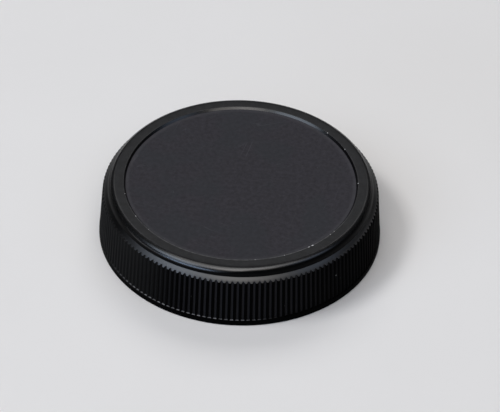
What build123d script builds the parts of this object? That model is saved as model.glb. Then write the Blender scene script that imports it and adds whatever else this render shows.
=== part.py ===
"""Rear lens cap: one black plastic moulding with a knurled grip, for a three-lug bayonet mount.

The cap stands on its mouth. Z is the cap's axis, and z = 0 is the mouth's foot, where the lens flange sits.
All sizes are in millimetres.
"""

from build123d import *
import os
from math import radians, tan

# Bayonet: the lens sets the throat, and the cap is drawn from there outwards
throat_radius = 22.3  # lug tips, round the lens's bayonet tube
lug_depth = 4.55  # room behind the tips for the lens's tabs
lug_count = 3
lug_turn = 5.0  # degrees from +X to the first lug's stop
lug_span = 50.0  # degrees
lug_recess = 0.4  # lug face above the foot
lug_thickness = 1.3
lug_ramp_length = 3.0
lug_ramp_height = 0.5
lug_root = 0.5  # how far a lug reaches into the skirt that it grows from
stop_span = 3.5  # degrees
stop_height = 2.4
stop_setback = 0.9  # stop face behind the lug tip

# Skirt and its grip
skirt_wall = 2.15  # from the bore to the groove roots, at the top of the grip
cap_height = 14.1  # foot to rim
band_height = 1.3  # the plain band below the grooves
foot_chamfer = 0.2
mouth_chamfer = 0.4
ceiling_chamfer = 0.8
grip_draft = 3.5  # degrees that the grip leans in

# Grip grooves
groove_count = 160
groove_rise = 0.15  # foot of a groove above the plain band
groove_depth = 0.4
groove_width = 0.76  # where a groove breaks the grip's surface

# Ledge and raised step
ledge_width = 1.08  # a 45 degree ledge on top of the grip
step_height = 1.82  # rim above the ledge
step_wall_lean = 0.45  # how far the step's wall leans in over its height
step_root_round = 0.3
shoulder_round = 1.75  # the step's rounded outer edge

# Recessed panel in the top
rim_width = 2.95  # flat part of the rim and its shoulder, out to the step's wall
panel_depth = 0.5
panel_slope_width = 0.42
panel_thickness = 1.7

# Sizes that follow from those above
draft_slope = tan(radians(grip_draft))
ledge_height = cap_height - step_height
grip_height = ledge_height - ledge_width
bore_radius = throat_radius + lug_depth
grip_top_radius = bore_radius + skirt_wall + groove_depth
cap_radius = grip_top_radius + (grip_height - band_height) * draft_slope
step_radius = grip_top_radius - ledge_width
step_top_radius = step_radius - step_wall_lean
rim_inner_radius = step_top_radius - rim_width
panel_radius = rim_inner_radius - panel_slope_width
panel_height = cap_height - panel_depth
ceiling_height = panel_height - panel_thickness
lug_top = lug_recess + lug_thickness


def corner(section, radius, height):
    """The section's corner nearest to a radius and a height."""
    return section.vertices().sort_by_distance((radius, height, 0))[0]


# One groove of the grip, as the shape that is cut away: a V, square to the leaning wall.
# The wall is part of a cone, and the V narrows towards the cone's tip, so its edges on the wall are straight lines.
overshoot = 0.3
tip_height = band_height + cap_radius / draft_slope
with BuildPart() as groove:
    for height in (band_height + groove_rise, cap_height):
        share = (tip_height - height) / (tip_height - grip_height)
        opening = share * groove_width * (1 + overshoot / groove_depth)
        across_wall = Plane(
            origin=((tip_height - height) * draft_slope, 0, height),
            x_dir=(0, 1, 0),
            z_dir=(-draft_slope, 0, 1),
        )
        with BuildSketch(across_wall):
            with BuildLine():
                Polyline(
                    (-opening / 2, -share * overshoot),
                    (opening / 2, -share * overshoot),
                    (0, share * groove_depth),
                    close=True,
                )
            make_face()
    loft(ruled=True)

# One bayonet lug: a shelf that grows from the skirt, with a lead-in ramp at one end and a stop at the other.
with BuildPart() as lug:
    with BuildSketch(Plane.XZ):
        with Locations((throat_radius, lug_recess)):
            Rectangle(bore_radius + lug_root - throat_radius, lug_thickness, align=Align.MIN)
    revolve(axis=Axis.Z, revolution_arc=lug_span)
    lead_face = lug.faces().filter_by(GeomType.PLANE).filter_by(Axis.Z, reverse=True).sort_by(Axis.Y)[-1]
    lead_edge = lead_face.edges().sort_by(Axis.Z)[-1]
    chamfer(lead_edge, length=lug_ramp_height, length2=lug_ramp_length, reference=lead_face)
    with BuildSketch(Plane.XZ):
        with Locations((throat_radius + stop_setback, lug_top - lug_thickness / 2)):
            Rectangle(
                bore_radius + lug_root - throat_radius - stop_setback,
                lug_thickness / 2 + stop_height,
                align=Align.MIN,
            )
    revolve(axis=Axis.Z, revolution_arc=stop_span)

# The cap: turned section, grooves round the grip, lugs inside the mouth.
with BuildPart() as rear_cap:
    with BuildSketch(Plane.XZ) as cap_section:
        with BuildLine():
            Polyline(
                (0, ceiling_height),
                (bore_radius, ceiling_height),
                (bore_radius, 0),
                (cap_radius, 0),
                (cap_radius, band_height),
                (grip_top_radius, grip_height),
                (step_radius, ledge_height),
                (step_top_radius, cap_height),
                (rim_inner_radius, cap_height),
                (panel_radius, panel_height),
                (0, panel_height),
                close=True,
            )
        make_face()
        chamfer(corner(cap_section, bore_radius, ceiling_height), ceiling_chamfer)
        chamfer(corner(cap_section, bore_radius, 0), mouth_chamfer)
        chamfer(corner(cap_section, cap_radius, 0), foot_chamfer)
        fillet(corner(cap_section, step_radius, ledge_height), step_root_round)
        fillet(corner(cap_section, step_top_radius, cap_height), shoulder_round)
    revolve(axis=Axis.Z)
    with PolarLocations(0, groove_count):
        add(groove.part, mode=Mode.SUBTRACT)
    with PolarLocations(0, lug_count, start_angle=lug_turn):
        add(lug.part)

os.makedirs("parts", exist_ok=True)
rear_cap.part.label = "rear_cap"
export_step(rear_cap.part, "parts/rear_cap.step")
print("rear_cap volume", round(rear_cap.part.volume), "mm3, box", rear_cap.part.bounding_box().size)
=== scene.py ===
# %% [markdown]
# # A rear lens cap, dressed around its CAD frame
#
# The real object is one moulding of black plastic: a shallow round cup that covers the back of a
# lens. It stands on its mouth. On top is a flat panel inside a raised rim, and round the side is a
# finely grooved grip.
#
# The CAD model, packed as a frame, fixes every size and place. Here its one solid is replaced by a
# finer mesh, with rounded corners and clean shading, and then gets its finishes, a floor, the lamps
# and a camera. Everything is in metres, in the frame's own axes: +Z is up and the camera looks
# along +Y.

# %% Load the frame
from math import cos, pi, radians, sin, sqrt, tan

import bmesh
import bpy
from mathutils import Matrix, Vector


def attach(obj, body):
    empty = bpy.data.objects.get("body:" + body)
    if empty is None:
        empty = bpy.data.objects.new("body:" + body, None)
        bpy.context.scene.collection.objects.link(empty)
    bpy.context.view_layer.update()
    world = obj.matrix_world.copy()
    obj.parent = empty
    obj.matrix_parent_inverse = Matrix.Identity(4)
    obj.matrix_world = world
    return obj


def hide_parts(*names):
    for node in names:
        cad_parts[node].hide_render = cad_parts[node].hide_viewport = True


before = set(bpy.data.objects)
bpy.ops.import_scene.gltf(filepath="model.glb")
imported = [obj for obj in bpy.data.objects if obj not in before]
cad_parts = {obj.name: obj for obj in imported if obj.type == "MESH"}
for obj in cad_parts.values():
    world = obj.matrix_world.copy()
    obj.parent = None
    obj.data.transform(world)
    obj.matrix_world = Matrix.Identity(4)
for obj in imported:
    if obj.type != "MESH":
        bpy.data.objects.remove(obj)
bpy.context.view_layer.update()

# %% [markdown]
# ## Sizes
#
# A cap like this is drawn from its bayonet outwards, and the source of the CAD model does the same.
# The sizes are repeated here by name, so that each piece below can be read without the drawing.

# %% Name the sizes
MM = 0.001

throat_radius = 22.3 * MM
lug_depth = 4.55 * MM
skirt_wall = 2.15 * MM
cap_height = 14.1 * MM
band_height = 1.3 * MM
foot_chamfer = 0.2 * MM
groove_count = 160
groove_rise = 0.15 * MM
groove_depth = 0.4 * MM
groove_width = 0.76 * MM
draft_slope = tan(radians(3.5))
ledge_width = 1.08 * MM
step_height = 1.82 * MM
step_wall_lean = 0.45 * MM
shoulder_round = 1.75 * MM
rim_width = 2.95 * MM
panel_depth = 0.5 * MM
panel_slope_width = 0.42 * MM
panel_thickness = 1.7 * MM

ledge_height = cap_height - step_height
grip_height = ledge_height - ledge_width
bore_radius = throat_radius + lug_depth
grip_top_radius = bore_radius + skirt_wall + groove_depth
cap_radius = grip_top_radius + (grip_height - band_height) * draft_slope
step_radius = grip_top_radius - ledge_width
step_top_radius = step_radius - step_wall_lean
rim_inner_radius = step_top_radius - rim_width
panel_radius = rim_inner_radius - panel_slope_width
panel_height = cap_height - panel_depth
ceiling_height = panel_height - panel_thickness

weld_distance = 0.001 * MM

# %% [markdown]
# ## The camera
#
# The photograph was taken from in front and above with a long lens, so circles stay nearly perfect
# ellipses. The ellipses of the rim, the ledge and the foot give the camera's height, its distance
# and a slight tilt. The camera comes first, because every later choice is judged through it.
#
# It is put into the scene by a small function, which the body, the floor and the lamps use too.

# %% Set the camera
def new_object(name, data):
    """Puts an object with this data into the scene."""
    thing = bpy.data.objects.new(name, data)
    bpy.context.scene.collection.objects.link(thing)
    return thing


camera_lens = 432.0
camera_distance = 1290.0 * MM
camera_height = radians(40.94)
camera_tilt = radians(1.61)
camera_target = Vector((2.07, 8.59, 0)) * MM

back = Vector((0, -cos(camera_height), sin(camera_height)))
level = Vector((1, 0, 0))
rise = back.cross(level)
right = cos(camera_tilt) * level + sin(camera_tilt) * rise
up = back.cross(right)

camera_data = bpy.data.cameras.new("camera")
camera_data.lens = camera_lens
camera_data.clip_start = 0.05
camera_data.clip_end = 20
camera = new_object("camera", camera_data)
camera.matrix_world = Matrix.Translation(camera_target + camera_distance * back) @ Matrix(
    (right, up, back)
).transposed().to_4x4()
bpy.context.scene.camera = camera
print("camera at", camera.location[:])

# %% [markdown]
# ## Small helpers for node trees
#
# Geometry Nodes and shader groups are both node trees. These helpers keep the trees short to read:
# they add a node with its settings, make a tree with named inputs and outputs, do one step of
# arithmetic, find how far a place is from the axis, and put a mesh through a tree.

# %% Helpers for node trees
def add(tree, kind, settings=None, **inputs):
    """Adds a node. Each input is a value, or the output socket that feeds it."""
    node = tree.nodes.new(kind)
    for name, value in (settings or {}).items():
        setattr(node, name, value)
    for name, value in inputs.items():
        socket = node.inputs[int(name[1:])] if name[0] == "_" else node.inputs[name.replace("_", " ")]
        if isinstance(value, bpy.types.NodeSocket):
            tree.links.new(value, socket)
        else:
            socket.default_value = value
    return node


def new_tree(name, kind, inputs, outputs):
    """A tree with named inputs and outputs, each given as name: (socket type, default)."""
    tree = bpy.data.node_groups.new(name, kind)
    for in_out, sockets in (("INPUT", inputs), ("OUTPUT", outputs)):
        for label, (socket_type, default) in sockets.items():
            socket = tree.interface.new_socket(label, in_out=in_out, socket_type=socket_type)
            if default is not None:
                socket.default_value = default
    return tree, tree.nodes.new("NodeGroupInput").outputs, tree.nodes.new("NodeGroupOutput").inputs


def arithmetic(tree, operation, a, b=0.0, c=0.0):
    """One Math node, and its result."""
    return add(tree, "ShaderNodeMath", {"operation": operation}, _0=a, _1=b, _2=c).outputs[0]


def from_axis(tree, place):
    """The three parts of a place, and how far the place is from the cap's axis."""
    part = add(tree, "ShaderNodeSeparateXYZ", _0=place).outputs
    flat = add(tree, "ShaderNodeCombineXYZ", X=part["X"], Y=part["Y"], Z=0.0)
    length = add(tree, "ShaderNodeVectorMath", {"operation": "LENGTH"}, _0=flat.outputs[0])
    return part, length.outputs["Value"]


def run_tree(name, mesh, tree, **values):
    """Puts a mesh through a Geometry Nodes tree and returns the plain mesh that comes out."""
    thing = new_object(name, mesh)
    modifier = thing.modifiers.new(tree.name, "NODES")
    modifier.node_group = tree
    inputs = [item for item in tree.interface.items_tree if item.in_out == "INPUT"]
    sockets = {item.name: item.identifier for item in inputs}
    for label, value in values.items():
        modifier[sockets[label.replace("_", " ")]] = value
    evaluated = thing.evaluated_get(bpy.context.evaluated_depsgraph_get())
    result = bpy.data.meshes.new_from_object(evaluated)
    bpy.data.objects.remove(thing)
    print(name, "has", len(result.vertices), "points and", len(result.polygons), "faces")
    return result


# %% [markdown]
# ## The turned surfaces
#
# Panel, rim, shoulder, ledge and mouth are all surfaces of revolution. On a lathe, or in a mould
# that was turned on one, such a surface comes from one section line. So the tree below takes a line
# of corners, rounds each corner by its own radius, and sweeps it round the axis as a grid. A Screw
# modifier could turn the line too, but it can't round each corner by a value that the corner
# carries.

# %% Build the tree that turns a section
turning, source, result = new_tree(
    "turn_a_section",
    "GeometryNodeTree",
    {
        "Geometry": ("NodeSocketGeometry", None),
        "Segments": ("NodeSocketInt", 320),
        "Round Steps": ("NodeSocketInt", 4),
        "Plastic": ("NodeSocketMaterial", None),
    },
    {"Geometry": ("NodeSocketGeometry", None)},
)
line = add(turning, "GeometryNodeMeshToCurve", _0=source["Geometry"])
rounding_of = add(turning, "GeometryNodeInputNamedAttribute", {"data_type": "FLOAT"}, Name="round")
rounded = add(
    turning,
    "GeometryNodeFilletCurve",
    {"mode": "POLY"},
    Curve=line.outputs[0],
    Count=source["Round Steps"],
    Radius=rounding_of.outputs[0],
    Limit_Radius=True,
)
line_size = add(
    turning, "GeometryNodeAttributeDomainSize", {"component": "CURVE"}, _0=rounded.outputs[0]
)
point_count = line_size.outputs["Point Count"]
columns = arithmetic(turning, "ADD", source["Segments"], 1)
grid = add(turning, "GeometryNodeMeshGrid", Vertices_X=columns, Vertices_Y=point_count)
number = add(turning, "GeometryNodeInputIndex").outputs[0]
along_line = arithmetic(turning, "MODULO", number, point_count)
column = arithmetic(turning, "FLOOR", arithmetic(turning, "DIVIDE", number, point_count))
turn_step = arithmetic(turning, "DIVIDE", 2 * pi, source["Segments"])
turn = arithmetic(turning, "MULTIPLY", column, turn_step)
here = add(turning, "GeometryNodeInputPosition").outputs[0]
section_point = add(
    turning,
    "GeometryNodeSampleIndex",
    {"data_type": "FLOAT_VECTOR", "domain": "POINT"},
    Geometry=rounded.outputs[0],
    Value=here,
    Index=along_line,
)
parts_of_point = add(turning, "ShaderNodeSeparateXYZ", _0=section_point.outputs[0]).outputs
turned_point = add(
    turning,
    "ShaderNodeCombineXYZ",
    X=arithmetic(turning, "MULTIPLY", parts_of_point["X"], arithmetic(turning, "COSINE", turn)),
    Y=arithmetic(turning, "MULTIPLY", parts_of_point["X"], arithmetic(turning, "SINE", turn)),
    Z=parts_of_point["Z"],
)
swept = add(
    turning, "GeometryNodeSetPosition", Geometry=grid.outputs[0], Position=turned_point.outputs[0]
)
closed = add(
    turning, "GeometryNodeMergeByDistance", Geometry=swept.outputs[0], Distance=weld_distance
)
real = add(turning, "GeometryNodeRealizeInstances", _0=closed.outputs[0])
coloured = add(
    turning, "GeometryNodeSetMaterial", Geometry=real.outputs[0], Material=source["Plastic"]
)
turning.links.new(coloured.outputs[0], result["Geometry"])
print("the turning tree has", len(turning.nodes), "nodes")

# %% [markdown]
# ## Copies round the axis
#
# The grip's grooves and the bayonet's lugs both repeat round the axis. One tree serves both: it
# puts a copy of its piece at each angle, makes the copies real, and welds neighbours where their
# edges meet.

# %% Build the tree that copies a piece round the axis
ringing, source, result = new_tree(
    "copy_round_the_axis",
    "GeometryNodeTree",
    {
        "Geometry": ("NodeSocketGeometry", None),
        "Copies": ("NodeSocketInt", 3),
        "First Angle": ("NodeSocketFloat", 0.0),
        "Plastic": ("NodeSocketMaterial", None),
    },
    {"Geometry": ("NodeSocketGeometry", None)},
)
spots = add(ringing, "GeometryNodePoints", Count=source["Copies"])
number = add(ringing, "GeometryNodeInputIndex").outputs[0]
pitch_angle = arithmetic(ringing, "DIVIDE", 2 * pi, source["Copies"])
spot_angle = arithmetic(ringing, "MULTIPLY_ADD", number, pitch_angle, source["First Angle"])
spot_turn = add(ringing, "FunctionNodeAxisAngleToRotation", Axis=(0, 0, 1), Angle=spot_angle)
copies = add(
    ringing,
    "GeometryNodeInstanceOnPoints",
    Points=spots.outputs[0],
    Instance=source["Geometry"],
    Rotation=spot_turn.outputs[0],
)
real = add(ringing, "GeometryNodeRealizeInstances", _0=copies.outputs[0])
welded = add(
    ringing, "GeometryNodeMergeByDistance", Geometry=real.outputs[0], Distance=weld_distance
)
coloured = add(
    ringing, "GeometryNodeSetMaterial", Geometry=welded.outputs[0], Material=source["Plastic"]
)
ringing.links.new(coloured.outputs[0], result["Geometry"])
print("the copying tree has", len(ringing.nodes), "nodes")

# %% [markdown]
# ## Section lines of the cap
#
# The top's line runs from the axis over the panel, the rim and the shoulder, and down to the ledge.
# The mouth's line runs from the band below the grip, under the foot, up the bore and in to the
# axis. Between the two lines come the grooves, so each line ends on a circle that the grip's mesh
# also ends on. Each corner is its radius, its height, and how much it is rounded. Nothing that left
# a mould is quite sharp.

# %% Turn the top and the mouth
turning_steps = 2 * groove_count
ledge_weld = 0.35 * MM
band_weld = 0.9 * MM
foot_round = 0.08 * MM
corner_round = 0.1 * MM
rim_edge_round = 0.12 * MM
step_root_round = 0.3 * MM
lead_in = 0.4 * MM
ceiling_round = 0.4 * MM
ceiling_chamfer = 0.8 * MM

top_line = [
    (0, panel_height, 0),
    (panel_radius / 2, panel_height, 0),
    (panel_radius, panel_height, corner_round),
    (rim_inner_radius, cap_height, rim_edge_round),
    (step_top_radius, cap_height, shoulder_round),
    (step_radius, ledge_height, step_root_round),
    (step_radius + ledge_weld, ledge_height - ledge_weld, 0),
]
mouth_line = [
    (cap_radius, band_weld, 0),
    (cap_radius, foot_chamfer, foot_round),
    (cap_radius - foot_chamfer, 0, foot_round),
    (bore_radius + lead_in, 0, corner_round),
    (bore_radius, lead_in, corner_round),
    (bore_radius, ceiling_height - ceiling_chamfer, ceiling_round),
    (bore_radius - ceiling_chamfer, ceiling_height, ceiling_round),
    (bore_radius / 2, ceiling_height, 0),
    (0, ceiling_height, 0),
]


def section_mesh(name, corners):
    """The section line as a mesh of edges, with each corner's rounding as an attribute."""
    mesh = bpy.data.meshes.new(name)
    places = [(radius, 0, height) for radius, height, rounding in corners]
    mesh.from_pydata(places, [(i, i + 1) for i in range(len(places) - 1)], [])
    attribute = mesh.attributes.new("round", "FLOAT", "POINT")
    attribute.data.foreach_set("value", [rounding for radius, height, rounding in corners])
    return mesh


plain_plastic = bpy.data.materials.new("plain_plastic")
top = run_tree(
    "turned_top", section_mesh("top_line", top_line), turning,
    Segments=turning_steps, Round_Steps=8, Plastic=plain_plastic,
)
mouth = run_tree(
    "turned_mouth", section_mesh("mouth_line", mouth_line), turning,
    Segments=turning_steps, Round_Steps=3, Plastic=plain_plastic,
)

# %% [markdown]
# ## One groove of the grip
#
# The grooves are what a hand feels. Each has a rounded bottom, starts at a small shelf above the
# plain band, and runs out through the sloping ledge, which leaves the ledge's edge notched like a
# coin's.
#
# Only one pitch is drawn, as a strip of a few dozen faces, and then copied 160 times. Its columns
# follow the groove from crest to bottom and back, and its rows follow the side of the cap from the
# band up to the ledge. At both ends it closes down to the two steps per groove that the turned
# surfaces have.

# %% Columns across one groove
half_pitch = pi / groove_count
half_groove = groove_width / 2 / grip_top_radius

# Each pair is a place across the groove, as a share of its half width from the middle out,
# and how deep the groove is there, as a share of its full depth.
groove_profile = [
    (0.0, 0.95),
    (0.42, 0.85),
    (0.74, 0.5),
    (0.93, 0.1),
    (1.04, 0.0),
]
strip_columns = [
    (-half_pitch, 0.0),
    *[(-across * half_groove, deep) for across, deep in reversed(groove_profile[1:])],
    *[(across * half_groove, deep) for across, deep in groove_profile],
    (half_pitch, 0.0),
]
print("the strip has", len(strip_columns), "columns")

# %% [markdown]
# A moulded edge is never quite sharp. The crests are rounded off where they meet the ledge, more
# than the groove bottoms are, and they stand back a hair from the band, so that a fine line shows
# at their foot.

# %% Rows up the side of the cap
crest_break = 0.06 * MM
bottom_break_share = 0.3
foot_step = 0.04 * MM
foot_step_rise = 0.03 * MM
foot_ramp_rise = 0.05 * MM
band_top_round = 0.1 * MM
groove_foot = band_height + groove_rise


def wall_radius(height):
    """Radius of the leaning grip at a height, with no groove."""
    return cap_radius - max(height - band_height, 0) * draft_slope


def grip_point(deep, height, step_back):
    """Radius and height of a point on the grip, at a share of the groove's depth."""
    return wall_radius(height) - deep * groove_depth - step_back, height


def foot_point(deep):
    """Radius and height of a point just above the shelf at a groove's foot."""
    return grip_point(deep, groove_foot + foot_step_rise + foot_ramp_rise * deep, foot_step)


def notch_point(deep, on_ledge):
    """Radius and height of a point beside the ledge's edge. A groove moves the edge in and up."""
    climb = deep * groove_depth / (1 - draft_slope)
    rounding = crest_break * (1 - (1 - bottom_break_share) * deep)
    if on_ledge:
        return grip_top_radius - climb - rounding, grip_height + climb + rounding
    return grip_point(deep, grip_height + climb - rounding, 0)


def add_point(mesh, angle, radius, height):
    """A new point of a mesh, at an angle round the axis."""
    return mesh.verts.new((radius * cos(angle), radius * sin(angle), height))


def strip_row(mesh, point_of):
    """One row of the strip, from crest to crest."""
    return [add_point(mesh, angle, *point_of(deep)) for angle, deep in strip_columns]


def weld_row(mesh, radius, height):
    """The three points of a strip's end, where a turned surface meets it."""
    return [add_point(mesh, angle, radius, height) for angle in (-half_pitch, 0, half_pitch)]


def close_end(mesh, row, weld):
    """Fans of triangles from a row of the strip to the three points of its end."""
    for one, other in zip(row, row[1:]):
        mesh.faces.new((one, other, weld[1]))
    mesh.faces.new((row[0], weld[1], weld[0]))
    mesh.faces.new((row[-1], weld[2], weld[1]))


# %% [markdown]
# The rows are bridged with faces from the band up to the ledge. Each end of the strip closes down
# to the three points that the turned surfaces have there, and the finished strip goes through the
# copying tree.

# %% Draw one groove and copy it round the grip
strip = bmesh.new()
low_weld = weld_row(strip, cap_radius, band_weld)
rows = [
    strip_row(strip, lambda deep: (cap_radius, band_height + band_top_round)),
    strip_row(strip, lambda deep: (wall_radius(groove_foot), groove_foot)),
    strip_row(strip, foot_point),
    strip_row(strip, lambda deep: grip_point(deep, grip_height / 2, foot_step / 2)),
    strip_row(strip, lambda deep: notch_point(deep, on_ledge=False)),
    strip_row(strip, lambda deep: notch_point(deep, on_ledge=True)),
]
high_weld = weld_row(strip, step_radius + ledge_weld, ledge_height - ledge_weld)

for lower, upper in zip(rows, rows[1:]):
    for i in range(len(lower) - 1):
        strip.faces.new((lower[i], lower[i + 1], upper[i + 1], upper[i]))
close_end(strip, rows[0], low_weld)
close_end(strip, rows[-1], high_weld)

groove_mesh = bpy.data.meshes.new("groove")
strip.to_mesh(groove_mesh)
strip.free()
print("one groove has", len(groove_mesh.polygons), "faces")
grip = run_tree("grooved_grip", groove_mesh, ringing, Copies=groove_count, Plastic=plain_plastic)

# %% [markdown]
# ## The bayonet's lugs
#
# Nobody sees the underside in the photograph, but the cap would not hold on a lens without its
# three lugs. Each is a shelf on the inside of the skirt, with a ramp where the lens's tab slides in
# and a stop where it ends. They are drawn as curved blocks in steps of about a degree, copied
# three times, and welded to the body by a Boolean union, because on the real cap they are one
# plastic with it.

# %% Draw one lug and copy it
lug_count = 3
lug_thickness = 1.3 * MM
lug_low = 0.4 * MM
lug_high = lug_low + lug_thickness
lug_root = 0.5 * MM
lug_span = 50.0
lug_steps = 40
first_lug = radians(5)
ramp_span = 7.7
ramp_drop = 0.5 * MM
stop_sink = 0.65 * MM
stop_thickness = 2.4 * MM
stop_low = lug_high - stop_sink
stop_high = stop_low + stop_thickness
stop_set_back = 0.9 * MM
stop_span = 3.5
stop_steps = 4


def finished(mesh, name):
    """Turns the faces outwards and returns the mesh as data."""
    bmesh.ops.recalc_face_normals(mesh, faces=mesh.faces)
    data = bpy.data.meshes.new(name)
    mesh.to_mesh(data)
    mesh.free()
    return data


def turns(span, steps):
    """Evenly spaced angles from 0 to a span."""
    return [span * i / steps for i in range(steps + 1)]


def curved_block(name, inner, low, stations):
    """A block that follows the axis and ends inside the skirt's wall.

    stations are pairs of an angle in degrees and the block's top there.
    """
    mesh = bmesh.new()
    outer = bore_radius + lug_root
    rings = []
    for angle, high in stations:
        corners = [(inner, low), (outer, low), (outer, high), (inner, high)]
        rings.append([add_point(mesh, radians(angle), *corner) for corner in corners])
    for one, other in zip(rings, rings[1:]):
        for i in range(4):
            j = (i + 1) % 4
            mesh.faces.new((one[i], one[j], other[j], other[i]))
    mesh.faces.new(rings[0])
    mesh.faces.new(list(reversed(rings[-1])))
    return finished(mesh, name)


shelf = [
    (angle, lug_high - ramp_drop * max(0, (angle - lug_span + ramp_span) / ramp_span))
    for angle in turns(lug_span, lug_steps)
]
stop = [(angle, stop_high) for angle in turns(stop_span, stop_steps)]
lug_parts = {
    "lug_shelves": curved_block("shelf", throat_radius, lug_low, shelf),
    "lug_stops": curved_block("stop", throat_radius + stop_set_back, stop_low, stop),
}
for name, block in lug_parts.items():
    lug_parts[name] = run_tree(
        name, block, ringing, Copies=lug_count, First_Angle=first_lug, Plastic=plain_plastic
    )

# %% [markdown]
# ## One closed body
#
# The top, the grip and the mouth now share their end circles point for point, so merging doubles
# closes them into one skin. The count of open edges below has to be zero before the lugs are welded
# on, and again after. The union leaves some points that are the same but for rounding, so doubles
# are merged once more.

# %% Weld the body
sharp_angle = radians(32)


def open_edges(mesh):
    """How many edges of a mesh don't have just two faces."""
    return sum(len(edge.link_faces) != 2 for edge in mesh.edges)


skin = bmesh.new()
for surface in (top, grip, mouth):
    skin.from_mesh(surface)
bmesh.ops.remove_doubles(skin, verts=skin.verts, dist=2 * weld_distance)
print("open edges before the lugs", open_edges(skin))
body = new_object("cap_body", finished(skin, "cap_body"))

helpers = []
for name, mesh in lug_parts.items():
    helper = new_object(name, mesh)
    helpers.append(helper)
    union = body.modifiers.new(name, "BOOLEAN")
    union.operation = "UNION"
    union.solver = "EXACT"
    union.object = helper
with_lugs = body.evaluated_get(bpy.context.evaluated_depsgraph_get())
welded_body = bpy.data.meshes.new_from_object(with_lugs)
body.modifiers.clear()
body.data = welded_body
for helper in helpers:
    bpy.data.objects.remove(helper)
closed_body = bmesh.new()
closed_body.from_mesh(body.data)
bmesh.ops.remove_doubles(closed_body, verts=closed_body.verts, dist=0.1 * weld_distance)
print("open edges with lugs", open_edges(closed_body))
print("volume", round(closed_body.calc_volume(signed=True) / MM**3), "cubic mm")
closed_body.to_mesh(body.data)
closed_body.free()
body.data.shade_smooth()
body.data.set_sharp_from_angle(angle=sharp_angle)
triangles = sum(len(face.vertices) - 2 for face in body.data.polygons)
print("body has", len(body.data.polygons), "faces and", triangles, "triangles")

# %% [markdown]
# ## Effects that the finishes share
#
# It is all one black plastic, but it doesn't look the same all over. The top has gone slightly grey
# and carries a fine moulded grain, scratches and dust. Corners that hands and tables rub are polished
# or worn pale. On the grip and along the front of the recess's edge, pale marks are painted light:
# painted highlights and glints.
#
# Each effect is a node group with named inputs, so that every finish can place it with its own
# values. They all read object coordinates, which stay with the cap from any side, and put out masks
# between 0 and 1.

# %% Grain of the mould
grain, source, result = new_tree(
    "moulded_grain",
    "ShaderNodeTree",
    {
        "Place": ("NodeSocketVector", None),
        "Grain Size": ("NodeSocketFloat", 0.15 * MM),
        "Cloud Size": ("NodeSocketFloat", 3 * MM),
    },
    {"Height": ("NodeSocketFloat", None), "Cloud": ("NodeSocketFloat", None)},
)
fine = add(
    grain, "ShaderNodeTexNoise", Vector=source["Place"],
    Scale=arithmetic(grain, "DIVIDE", 1.0, source["Grain Size"]), Detail=2.0,
)
cloudy = add(
    grain, "ShaderNodeTexNoise", Vector=source["Place"],
    Scale=arithmetic(grain, "DIVIDE", 1.0, source["Cloud Size"]), Detail=6.0, Roughness=0.7,
)
grain.links.new(fine.outputs[0], result["Height"])
grain.links.new(cloudy.outputs[0], result["Cloud"])
print("moulded grain is ready")

# %% [markdown]
# Hairline scratches are the level lines of a noise that is stretched one way: they come out long,
# thin and a little curved, as real ones are. A second, coarse noise keeps them to a few patches.

# %% Scratches from handling
scratches, source, result = new_tree(
    "handling_scratches",
    "ShaderNodeTree",
    {
        "Place": ("NodeSocketVector", None),
        "Direction": ("NodeSocketFloat", 0.0),
        "Spacing": ("NodeSocketFloat", 2 * MM),
        "Thinness": ("NodeSocketFloat", 0.01),
        "Share": ("NodeSocketFloat", 0.4),
    },
    {"Mask": ("NodeSocketFloat", None)},
)
turned = add(
    scratches, "ShaderNodeVectorRotate", {"rotation_type": "Z_AXIS"},
    Vector=source["Place"], Angle=source["Direction"],
)
stretched = add(
    scratches, "ShaderNodeVectorMath", {"operation": "MULTIPLY"},
    _0=turned.outputs[0], _1=(0.08, 1, 1),
)
ripple = add(
    scratches, "ShaderNodeTexNoise", Vector=stretched.outputs[0],
    Scale=arithmetic(scratches, "DIVIDE", 1.0, source["Spacing"]), Detail=1.0,
)
from_middle = arithmetic(scratches, "SUBTRACT", ripple.outputs[0], 0.5)
off_line = arithmetic(scratches, "ABSOLUTE", from_middle)
hairline = add(
    scratches, "ShaderNodeMapRange", _0=off_line, _1=0.0, _2=source["Thinness"], _3=1.0, _4=0.0
)
patch = add(
    scratches, "ShaderNodeTexNoise", Vector=turned.outputs[0],
    Scale=arithmetic(scratches, "DIVIDE", 0.3, source["Spacing"]), Detail=1.0,
)
half_share = arithmetic(scratches, "MULTIPLY", source["Share"], 0.5)
patch_floor = arithmetic(scratches, "SUBTRACT", 0.75, half_share)
in_patch = add(
    scratches, "ShaderNodeMapRange", _0=patch.outputs[0], _1=patch_floor,
    _2=arithmetic(scratches, "ADD", patch_floor, 0.08), _3=0.0, _4=1.0,
)
scratches.links.new(
    arithmetic(scratches, "MULTIPLY", hairline.outputs[0], in_patch.outputs[0]), result["Mask"]
)
print("scratches are ready")

# %% [markdown]
# Dust is a Voronoi pattern: each cell holds at most one speck, and the cell's own random colour
# decides whether it has one and how large it is.

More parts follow.
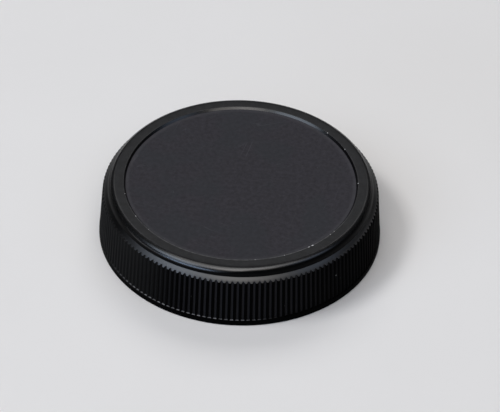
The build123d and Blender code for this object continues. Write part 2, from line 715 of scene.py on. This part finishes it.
# %% Dust
dust, source, result = new_tree(
    "dust_specks",
    "ShaderNodeTree",
    {
        "Place": ("NodeSocketVector", None),
        "Spacing": ("NodeSocketFloat", 1.5 * MM),
        "Size": ("NodeSocketFloat", 0.08 * MM),
        "Share": ("NodeSocketFloat", 0.3),
    },
    {"Mask": ("NodeSocketFloat", None)},
)
cells = add(
    dust, "ShaderNodeTexVoronoi", {"feature": "F1"}, Vector=source["Place"],
    Scale=arithmetic(dust, "DIVIDE", 1.0, source["Spacing"]),
)
chance = add(dust, "ShaderNodeSeparateColor", _0=cells.outputs["Color"]).outputs
has_speck = arithmetic(dust, "LESS_THAN", chance["Red"], source["Share"])
speck_size = arithmetic(
    dust, "MULTIPLY", arithmetic(dust, "DIVIDE", source["Size"], source["Spacing"]),
    arithmetic(dust, "ADD", chance["Green"], 0.3),
)
inside_speck = add(
    dust, "ShaderNodeMapRange", _0=cells.outputs["Distance"],
    _1=arithmetic(dust, "MULTIPLY", speck_size, 0.4), _2=speck_size, _3=1.0, _4=0.0,
)
dust.links.new(arithmetic(dust, "MULTIPLY", has_speck, inside_speck.outputs[0]), result["Mask"])
print("dust is ready")

# %% [markdown]
# An edge of a turned part is a circle, so its wear is a thin ring about a radius and a height, broken
# up by noise. The same group greys the border of the panel, wears the edge of the recess and the tips
# of the lugs, and places the painted glint at the feet of the grooves. A nick is one pale spot with a
# ragged outline, where the plastic was struck.

# %% Worn rings and nicks
ring, source, result = new_tree(
    "wear_and_glint_ring",
    "ShaderNodeTree",
    {
        "Place": ("NodeSocketVector", None),
        "Radius": ("NodeSocketFloat", 25 * MM),
        "Height": ("NodeSocketFloat", 14 * MM),
        "Width": ("NodeSocketFloat", 0.2 * MM),
        "Patch Size": ("NodeSocketFloat", 1 * MM),
        "Evenness": ("NodeSocketFloat", 0.5),
    },
    {"Mask": ("NodeSocketFloat", None)},
)
part, radius = from_axis(ring, source["Place"])
across = arithmetic(ring, "SUBTRACT", radius, source["Radius"])
above = arithmetic(ring, "SUBTRACT", part["Z"], source["Height"])
away = add(
    ring, "ShaderNodeVectorMath", {"operation": "LENGTH"},
    _0=add(ring, "ShaderNodeCombineXYZ", X=across, Y=above, Z=0.0).outputs[0],
).outputs["Value"]
near = add(
    ring, "ShaderNodeMapRange", {"interpolation_type": "SMOOTHSTEP"},
    _0=away, _1=0.0, _2=source["Width"], _3=1.0, _4=0.0,
)
broken = add(
    ring, "ShaderNodeTexNoise", Vector=source["Place"],
    Scale=arithmetic(ring, "DIVIDE", 1.0, source["Patch Size"]), Detail=3.0,
)
kept = add(
    ring, "ShaderNodeMapRange",
    _0=broken.outputs[0], _1=0.4, _2=0.62, _3=source["Evenness"], _4=1.0,
)
ring.links.new(arithmetic(ring, "MULTIPLY", near.outputs[0], kept.outputs[0]), result["Mask"])

nick, source, result = new_tree(
    "pale_nick",
    "ShaderNodeTree",
    {
        "Place": ("NodeSocketVector", None),
        "Centre": ("NodeSocketVector", None),
        "Size": ("NodeSocketFloat", 0.2 * MM),
    },
    {"Mask": ("NodeSocketFloat", None)},
)
wobble = add(nick, "ShaderNodeTexNoise", Vector=source["Place"], Scale=1 / (0.3 * MM), Detail=1.0)
away = add(
    nick, "ShaderNodeVectorMath", {"operation": "DISTANCE"}, _0=source["Place"], _1=source["Centre"]
).outputs["Value"]
growth = arithmetic(nick, "ADD", wobble.outputs[0], 0.3)
ragged = arithmetic(nick, "MULTIPLY", source["Size"], growth)
solid = arithmetic(nick, "MULTIPLY", ragged, 0.5)
inside = add(nick, "ShaderNodeMapRange", _0=away, _1=solid, _2=ragged, _3=1.0, _4=0.0)
nick.links.new(inside.outputs[0], result["Mask"])
print("worn rings and nicks are ready")

# %% [markdown]
# ## The finishes
#
# Each finish starts from the same black plastic. `Finish` collects the layers of one material: a
# black that varies with the grain's clouds, then wear, dust and painted light on top, each as a mask
# and a colour.
# Values that are the same all over a finish, such as its gloss, are set on the shader itself.

# %% A builder for the finishes
roughness_swing = 0.06


class Finish:
    """One material in the making. clouds is how far its colour swings from patch to patch."""

    def __init__(
        self, name, colour, roughness, specular, grain_size, grain_depth, cloud_size, clouds
    ):
        self.material = bpy.data.materials.new(name)
        self.material.use_nodes = True
        self.tree = self.material.node_tree
        self.shader = self.tree.nodes["Principled BSDF"]
        self.shader.inputs["Specular IOR Level"].default_value = specular
        self.place = add(self.tree, "ShaderNodeTexCoord").outputs["Object"]
        texture = add(
            self.tree, "ShaderNodeGroup", {"node_tree": grain},
            Place=self.place, Grain_Size=grain_size, Cloud_Size=cloud_size,
        )
        self.cloud = texture.outputs["Cloud"]
        self.height = texture.outputs["Height"]
        self.colour = add(
            self.tree, "ShaderNodeMix", {"data_type": "RGBA"},
            _0=add(self.tree, "ShaderNodeMapRange", _0=self.cloud, _1=0.3, _2=0.7).outputs[0],
            _6=(*[(1 - clouds) * c for c in colour], 1),
            _7=(*[(1 + clouds) * c for c in colour], 1),
        ).outputs[2]
        self.roughness = add(
            self.tree, "ShaderNodeMapRange", _0=self.cloud,
            _3=roughness - roughness_swing, _4=roughness + roughness_swing,
        ).outputs[0]
        self.grain_depth = grain_depth

    def mask(self, group, **values):
        """A mask from one of the shared groups."""
        node = add(self.tree, "ShaderNodeGroup", {"node_tree": group}, Place=self.place, **values)
        return node.outputs["Mask"]

    def patches(self, size):
        """A mask of large soft patches."""
        noise = add(self.tree, "ShaderNodeTexNoise", Vector=self.place, Scale=1 / size, Detail=2.0)
        return self.ramp(noise.outputs[0], 0.42, 0.6, 0.0, 1.0)

    def side(self, angle, start, end):
        """A mask that grows towards one side of the cap. start and end are shares of the way out."""
        reach = add(
            self.tree, "ShaderNodeVectorMath", {"operation": "DOT_PRODUCT"},
            _0=self.place, _1=round_place(angle, 1, 0),
        ).outputs["Value"]
        radius = from_axis(self.tree, self.place)[1]
        return self.ramp(arithmetic(self.tree, "DIVIDE", reach, radius), start, end, 0.0, 1.0)

    def ramp(self, value, start, end, at_start, at_end):
        """A smooth step from one value to another as a measure goes from start to end."""
        return add(
            self.tree, "ShaderNodeMapRange", {"interpolation_type": "SMOOTHSTEP"},
            _0=value, _1=start, _2=end, _3=at_start, _4=at_end,
        ).outputs[0]

    def both(self, one, other):
        """Where two masks overlap."""
        return arithmetic(self.tree, "MULTIPLY", one, other)

    def lay(self, mask, colour, amount=1.0):
        """Lays a colour over the plastic where the mask is."""
        share = self.both(mask, amount)
        self.colour = add(
            self.tree, "ShaderNodeMix", {"data_type": "RGBA"},
            _0=share, _6=self.colour, _7=(*colour, 1),
        ).outputs[2]

    def sprinkle(self, spacing, size, share, colour):
        """Lays specks of dust over the plastic."""
        self.lay(self.mask(dust, Spacing=spacing, Size=size, Share=share), colour, 0.5)

    def done(self):
        """Connects what was collected to the shader."""
        bump = add(
            self.tree, "ShaderNodeBump", Strength=1.0, Distance=self.grain_depth, Height=self.height
        )
        self.tree.links.new(self.colour, self.shader.inputs["Base Color"])
        self.tree.links.new(self.roughness, self.shader.inputs["Roughness"])
        self.tree.links.new(bump.outputs[0], self.shader.inputs["Normal"])
        print(self.material.name, "has", len(self.tree.nodes), "nodes")
        return self.material


def round_place(angle, radius, height):
    """A place round the axis. The angle is in degrees, is 0 in front and grows towards +X."""
    return (radius * sin(radians(angle)), -radius * cos(radians(angle)), height)


# %% [markdown]
# The flat panel is the largest surface. It is a dull, faintly blue black with a mottled grain. Near
# its rim it has been wiped less, so the black is a little lighter there.

# %% The panel
panel = Finish(
    "panel_finish", (0.0295, 0.0277, 0.033), 0.6, 0.1,
    grain_size=0.2 * MM, grain_depth=0.008 * MM, cloud_size=0.9 * MM, clouds=0.3,
)
panel.lay(panel.patches(9 * MM), (0.0255, 0.0285, 0.0325), 0.4)
for direction, spacing in ((0.4, 2.6 * MM), (1.9, 3.4 * MM), (2.7, 3.0 * MM)):
    panel.lay(
        panel.mask(scratches, Direction=direction, Spacing=spacing, Thinness=0.006, Share=0.3),
        (0.07, 0.07, 0.08), 0.45,
    )
panel.lay(
    panel.mask(
        ring, Radius=panel_radius - 0.3 * MM, Height=panel_height, Width=0.7 * MM,
        Patch_Size=2 * MM, Evenness=0.6,
    ),
    (0.055, 0.054, 0.06), 0.5,
)
panel.sprinkle(1.6 * MM, 0.11 * MM, 0.2, (0.12, 0.12, 0.125))
panel_finish = panel.done()

# %% [markdown]
# The rim and the rounded shoulder outside it are the part of the cap that is touched most, and they
# have a soft polish. The wall below the shoulder is out of reach and stays dull and black. So the
# polish is a clear coat whose weight follows the height up the wall, and the grey of the flat rim
# fades out over the shoulder. On the front left, where fingers turn the cap, the polish reaches a
# little lower.

# %% The rim and its shoulder
rim = Finish(
    "rim_finish", (0.0012, 0.0012, 0.0013), 0.42, 0.05,
    grain_size=0.3 * MM, grain_depth=0.003 * MM, cloud_size=1.5 * MM, clouds=0.2,
)
rim.shader.inputs["Coat Roughness"].default_value = 0.25
rim.shader.inputs["Coat IOR"].default_value = 1.82
rim_parts, rim_radius = from_axis(rim.tree, rim.place)
greyed_out = rim.ramp(rim_radius, step_top_radius - 1.2 * MM, step_top_radius - 0.4 * MM, 1.0, 0.0)
on_top = rim.ramp(rim_radius, rim_inner_radius - 0.1 * MM, rim_inner_radius + 0.1 * MM, 0.0, 1.0)
mottled = rim.ramp(rim.cloud, 0.35, 0.65, 0.7, 1.0)
rim.lay(rim.both(rim.both(greyed_out, on_top), mottled), (0.0198, 0.0198, 0.021))
# The edge of the recess is worn pale, and this pale line is laid on the front only, where it is also
# a painted highlight along the near edge.
wear_and_highlight_edge = rim.mask(
    ring, Radius=rim_inner_radius + 0.05 * MM, Height=cap_height, Width=0.2 * MM,
    Patch_Size=1.0 * MM, Evenness=0.45,
)
rim.lay(rim.both(wear_and_highlight_edge, rim.side(0, 0.2, 0.9)), (0.13, 0.13, 0.132), 0.8)
nick_places = [
    (-79.0, 0.1), (-61.5, 0.15), (-50.0, 0.12), (8.0, 0.1), (22.5, 0.13), (36.0, 0.2),
    (38.0, 0.26), (50.0, 0.15), (53.0, 0.1), (91.5, 0.12), (118.0, 0.1), (133.0, 0.1),
]
for angle, size in nick_places:
    centre = round_place(angle, rim_inner_radius, cap_height)
    rim.lay(rim.mask(nick, Centre=centre, Size=1.4 * size * MM), (0.6, 0.6, 0.6))
rim.sprinkle(1.3 * MM, 0.09 * MM, 0.2, (0.12, 0.12, 0.12))
outwards = rim.ramp(rim_radius, step_top_radius - 1.15 * MM, step_top_radius - 0.4 * MM, 0.02, 1.0)
touched = rim.side(-30, 0.8, 0.97)
polish_reach = arithmetic(rim.tree, "MULTIPLY_ADD", touched, -0.6 * MM, cap_height - 0.7 * MM)
above_reach = arithmetic(rim.tree, "SUBTRACT", rim_parts["Z"], polish_reach)
upwards = rim.ramp(above_reach, 0.0, 0.4 * MM, 0.0, 1.0)
on_slope = rim.ramp(
    rim_radius, rim_inner_radius - 0.1 * MM, rim_inner_radius + 0.1 * MM, 0.9, 0.0
)
polish = arithmetic(rim.tree, "MULTIPLY_ADD", outwards, upwards, on_slope)
rim.tree.links.new(polish, rim.shader.inputs["Coat Weight"])
rim_finish = rim.done()

# %% [markdown]
# The ledge faces outwards and up, so one lamp in front lights all of it, and it shows as a pale
# band. It has the satin of a smooth mould. At both ends of that band it has been rubbed dull, and
# there it stays dark.

# %% The ledge
ledge = Finish(
    "ledge_finish", (0.0012, 0.0012, 0.0013), 0.4, 0.15,
    grain_size=0.3 * MM, grain_depth=0.004 * MM, cloud_size=1.5 * MM, clouds=0.3,
)
ledge.sprinkle(1.3 * MM, 0.09 * MM, 0.2, (0.12, 0.12, 0.12))
ledge.shader.inputs["Coat Roughness"].default_value = 0.38
ledge.shader.inputs["Coat IOR"].default_value = 1.86
satin = ledge.both(ledge.side(25, 0.0, 0.34), ledge.side(-5, 0.0, 0.4))
ledge.tree.links.new(satin, ledge.shader.inputs["Coat Weight"])
ledge_finish = ledge.done()

# %% [markdown]
# The grip is the blackest part. Its crests are near black, and the bottoms of its grooves are painted
# a paler black, a painted highlight for the thin line that light from one side draws in each groove;
# on the front they are painted paler still. The small shelf at the foot of each groove is painted
# pale on the front left, a painted glint that draws a row of pale dashes above the band. On the far
# left, crests and grooves alike are painted a lighter black, painted light from that side, so the
# ribs hardly show there.

# %% The grip and its band
grip_skin = Finish(
    "grip_finish", (0.0008, 0.0008, 0.0009), 0.5, 0.01,
    grain_size=0.3 * MM, grain_depth=0.004 * MM, cloud_size=1.5 * MM, clouds=0.3,
)
grip_parts, grip_radius = from_axis(grip_skin.tree, grip_skin.place)
radius_at_table = cap_radius + band_height * draft_slope
crest_radius = arithmetic(
    grip_skin.tree, "MULTIPLY_ADD", grip_parts["Z"], -draft_slope, radius_at_table
)
sunk = arithmetic(grip_skin.tree, "SUBTRACT", crest_radius, grip_radius)
# Painted highlight: the bottoms of the grooves are painted a paler black than the crests, for the
# line that light from one side draws in each groove.
in_groove = grip_skin.ramp(sunk, 0.2 * MM, 0.34 * MM, 0.0, 1.0)
grip_skin.lay(in_groove, (0.009, 0.009, 0.01))
# Painted light: towards the front the groove bottoms are painted paler still, where the lit lines are
# brightest.
painted_lit_grooves = grip_skin.both(in_groove, grip_skin.side(5, 0.8, 0.985))
grip_skin.lay(painted_lit_grooves, (0.018, 0.018, 0.0202))
# Painted light: on the far left, crests and grooves alike are painted a lighter black, for the light
# that falls on that side.
grip_skin.lay(grip_skin.side(-80, 0.55, 0.95), (0.0115, 0.0115, 0.0114))
# The plain band is laid with plain black, over the painted light of the far left.
on_band = grip_skin.ramp(
    grip_parts["Z"], band_height - 0.1 * MM, band_height + 0.1 * MM, 1.0, 0.0
)
grip_skin.lay(on_band, (0.001, 0.001, 0.0011))
# Painted glint: the shelf at the foot of each groove is painted pale on the front left, as a row of
# glinting dashes above the band.
painted_shelf_glint = grip_skin.mask(
    ring, Radius=cap_radius - 0.2 * MM, Height=groove_foot, Width=0.25 * MM,
    Patch_Size=1.5 * MM, Evenness=0.45,
)
off_crest = grip_skin.ramp(sunk, 0.02 * MM, 0.1 * MM, 0.0, 1.0)
on_shelf = grip_skin.both(painted_shelf_glint, off_crest)
on_side = grip_skin.side(-24, 0.72, 0.97)
grip_skin.lay(grip_skin.both(on_shelf, on_side), (0.25, 0.25, 0.26))
for angle, height, size in ((44.0, 7.3, 0.22), (46.5, 5.9, 0.12), (61.0, 5.5, 0.14)):
    place = round_place(angle, wall_radius(height * MM) - 0.1 * MM, height * MM)
    grip_skin.lay(grip_skin.mask(nick, Centre=place, Size=1.3 * size * MM), (0.25, 0.25, 0.25))
grip_skin.sprinkle(1.4 * MM, 0.09 * MM, 0.15, (0.1, 0.1, 0.1))
grip_finish = grip_skin.done()

# %% [markdown]
# Nothing rubs the inside but the lens itself. It keeps the dull black of the mould, and only the
# tips of the lugs, which slide behind a metal mount, are worn paler.

# %% The inside
inside_skin = Finish(
    "inside_finish", (0.012, 0.012, 0.0128), 0.5, 0.4,
    grain_size=0.25 * MM, grain_depth=0.005 * MM, cloud_size=2 * MM, clouds=0.25,
)
inside_skin.lay(
    inside_skin.mask(
        ring, Radius=throat_radius, Height=lug_low, Width=0.3 * MM,
        Patch_Size=1 * MM, Evenness=0.3,
    ),
    (0.05, 0.05, 0.05), 0.7,
)
inside_skin.sprinkle(1.5 * MM, 0.1 * MM, 0.2, (0.1, 0.1, 0.1))
inside_finish = inside_skin.done()

# %% [markdown]
# One mesh can carry several finishes. Each face takes its own from where it lies on the cap.

# %% Give each face its finish
finishes = [panel_finish, rim_finish, ledge_finish, grip_finish, inside_finish]
edge_slack = 0.05 * MM
step_slack = 0.02 * MM
ledge_slack = 0.015 * MM
inside_edge = bore_radius + 0.5 * MM


def finish_of(centre):
    """Which finish a face has, from where it lies."""
    radius = sqrt(centre.x**2 + centre.y**2)
    off_ledge = abs(radius + centre.z - grip_top_radius - grip_height)
    if radius < panel_radius + edge_slack and centre.z > panel_height - edge_slack:
        return panel_finish
    if centre.z > ledge_height - edge_slack and radius < step_radius + step_slack:
        return rim_finish
    if centre.z > grip_height and off_ledge < ledge_slack:
        return ledge_finish
    if radius > inside_edge:
        return grip_finish
    return inside_finish


body.data.materials.clear()
for material in finishes:
    body.data.materials.append(material)
for face in body.data.polygons:
    face.material_index = finishes.index(finish_of(face.center))
for i, material in enumerate(finishes):
    print(material.name, sum(face.material_index == i for face in body.data.polygons), "faces")

# %% [markdown]
# ## Floor
#
# The cap stands on plain pale paper. A large flat sheet is enough, because no edge of it is in the
# picture. Faint clouds keep it from being one flat colour.

# %% Make the floor
floor_reach = 3.0
floor_mesh = bpy.data.meshes.new("floor")
floor_corners = [
    (x * floor_reach, y * floor_reach, 0) for x, y in ((-1, -1), (1, -1), (1, 1), (-1, 1))
]
floor_mesh.from_pydata(floor_corners, [], [(0, 1, 2, 3)])
floor = new_object("floor", floor_mesh)
paper = bpy.data.materials.new("floor_paper")
paper.use_nodes = True
paper_tree = paper.node_tree
paper_place = add(paper_tree, "ShaderNodeTexCoord").outputs["Object"]
paper_cloud = add(paper_tree, "ShaderNodeTexNoise", Vector=paper_place, Scale=25.0, Detail=5.0)
paper_colour = add(
    paper_tree, "ShaderNodeMix", {"data_type": "RGBA"}, _0=paper_cloud.outputs[0],
    _6=(0.772, 0.760, 0.752, 1), _7=(0.807, 0.795, 0.787, 1),
)
paper_shader = paper_tree.nodes["Principled BSDF"]
paper_tree.links.new(paper_colour.outputs[2], paper_shader.inputs["Base Color"])
paper_shader.inputs["Roughness"].default_value = 0.8
floor.data.materials.append(paper)
print("floor reaches", floor_reach, "m each way")

# %% [markdown]
# ## Lamps
#
# Black plastic shows its shape by what it mirrors, so each lamp stands where the photograph has a
# reflection. A wide soft lamp and a pane beside it, high on the left, draw the long pale line on
# the shoulder. A low pane near the table carries its blue down the step's wall. A soft box in front
# brightens the ledge, two weak lamps on the right keep that side readable, and the lamp behind is
# mirrored by the flat rim.
#
# The short shadow on the right has a clear edge, which needs a small lamp on the left. A small lamp
# would also put one bright spot on the shoulder, where the photograph has an even line, so that
# lamp is kept out of reflections. The room itself adds next to no light.

# %% Place the lamps
lamp_distance = 2.2


def lamp(name, azimuth, height, width, depth, power, colour=(1, 1, 1), mirrored=True):
    """A flat lamp that faces the cap. Azimuth 0 is in front, and grows towards +X."""
    data = bpy.data.lights.new(name, "AREA")
    data.shape = "RECTANGLE"
    data.size = width
    data.size_y = depth
    data.energy = power
    data.color = colour
    thing = new_object(name, data)
    thing.visible_glossy = mirrored
    towards = Vector(round_place(azimuth, cos(radians(height)), sin(radians(height))))
    thing.location = lamp_distance * towards
    thing.rotation_euler = towards.to_track_quat("Z", "Y").to_euler()
    print(name, "at", [round(v, 2) for v in thing.location], power, "W")


lamp("window_lamp", -30, 64, 2.0, 1.4, 11.8, (1.0, 0.99, 0.99))
lamp("left_flood", -82, 57, 0.7, 0.5, 14.0, mirrored=False)
lamp("left_pane", -56, 38, 1.4, 0.9, 7.2, (0.86, 0.98, 1.16))
lamp("low_window", -40, 10, 1.5, 0.35, 6.5, (0.7, 0.92, 1.3))
lamp("front_box", 5, 50, 1.6, 0.9, 6.6, (1.05, 1.0, 0.97))
lamp("high_right", 46, 67, 1.0, 1.0, 3.5)
lamp("right_fill", 68, 42, 1.0, 1.0, 1.8, (0.76, 0.93, 1.25))
lamp("high_back", 180, 48, 1.8, 1.0, 14.8)
world = bpy.data.worlds.new("room")
world.use_nodes = True
room_light = world.node_tree.nodes["Background"].inputs["Color"]
room_light.default_value = (0.012, 0.012, 0.013, 1)
bpy.context.scene.world = world
bpy.context.scene.view_settings.view_transform = "Standard"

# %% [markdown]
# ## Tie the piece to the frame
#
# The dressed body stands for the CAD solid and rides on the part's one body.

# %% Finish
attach(body, "root")
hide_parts("rear_cap")
